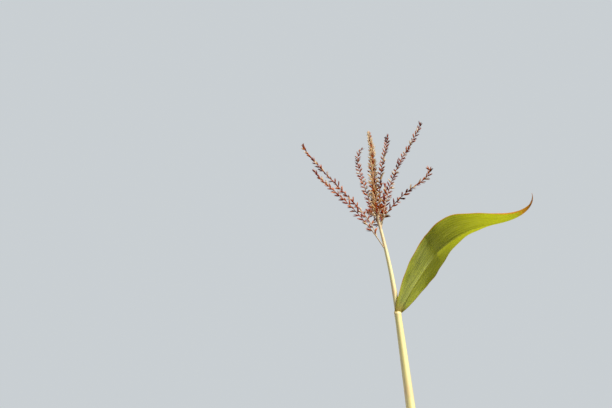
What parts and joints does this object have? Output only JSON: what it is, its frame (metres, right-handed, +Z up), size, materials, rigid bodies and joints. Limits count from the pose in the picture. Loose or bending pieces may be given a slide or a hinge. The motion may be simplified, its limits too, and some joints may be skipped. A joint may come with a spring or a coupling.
{
  "type": "maize plant",
  "caption": "Tall ripening maize plant: jointed stalk, sheathed strap leaves that arch over, husked ear with silk, brace roots at the foot and a branched tassel.",
  "frame": {"origin": "middle of the flat cut under the stalk, at ground level", "axes": "+Z up along the stalk to the tassel, +X towards the flag leaf's side, -Y towards the viewer of the picture"},
  "size_m": [1.1648, 1.1398, 2.2],
  "materials": {
    "stalk": "pale, smooth and faintly ribbed, satin",
    "sheath": "pale straw yellow with faint green lengthwise stripes",
    "leaf_blade": "ribbed leaf with a pale midrib and dry orange margins",
    "tassel_spike": "dry, papery",
    "tassel_branch": "dry, papery",
    "husk": "ribbed, papery towards the tip",
    "silk": "dry, fibrous",
    "brace_root": "smooth, matt"
  },
  "bodies": {
    "root": {"brace_roots_lower": "brace_root", "brace_roots_upper": "brace_root", "ear_husk": "husk", "ear_shank": "husk", "ear_silk": "silk", "flag_leaf_blade": "leaf_blade", "flag_leaf_sheath": "sheath", "leaf_01_blade": "leaf_blade", "leaf_01_sheath": "sheath", "leaf_02_base": "leaf_blade", "leaf_02_sheath": "sheath", "leaf_02_tip": "leaf_blade", "leaf_03_base": "leaf_blade", "leaf_03_sheath": "sheath", "leaf_03_tip": "leaf_blade", "leaf_04_base": "leaf_blade", "leaf_04_sheath": "sheath", "leaf_04_tip": "leaf_blade", "leaf_05_base": "leaf_blade", "leaf_05_sheath": "sheath", "leaf_05_tip": "leaf_blade", "leaf_06_base": "leaf_blade", "leaf_06_sheath": "sheath", "leaf_06_tip": "leaf_blade", "leaf_07_base": "leaf_blade", "leaf_07_sheath": "sheath", "leaf_07_tip": "leaf_blade", "leaf_08_base": "leaf_blade", "leaf_08_sheath": "sheath", "leaf_08_tip": "leaf_blade", "leaf_09_base": "leaf_blade", "leaf_09_sheath": "sheath", "leaf_09_tip": "leaf_blade", "leaf_10_base": "leaf_blade", "leaf_10_sheath": "sheath", "leaf_10_tip": "leaf_blade", "stalk": "stalk", "tassel_branch_back_left": "tassel_branch", "tassel_branch_back_right": "tassel_branch", "tassel_branch_inner_left": "tassel_branch", "tassel_branch_inner_right": "tassel_branch", "tassel_branch_left_fork": "tassel_branch", "tassel_branch_lower_left": "tassel_branch", "tassel_branch_lower_right": "tassel_branch", "tassel_branch_upper_right": "tassel_branch", "tassel_spike": "tassel_spike"}
  },
  "joints": []
}
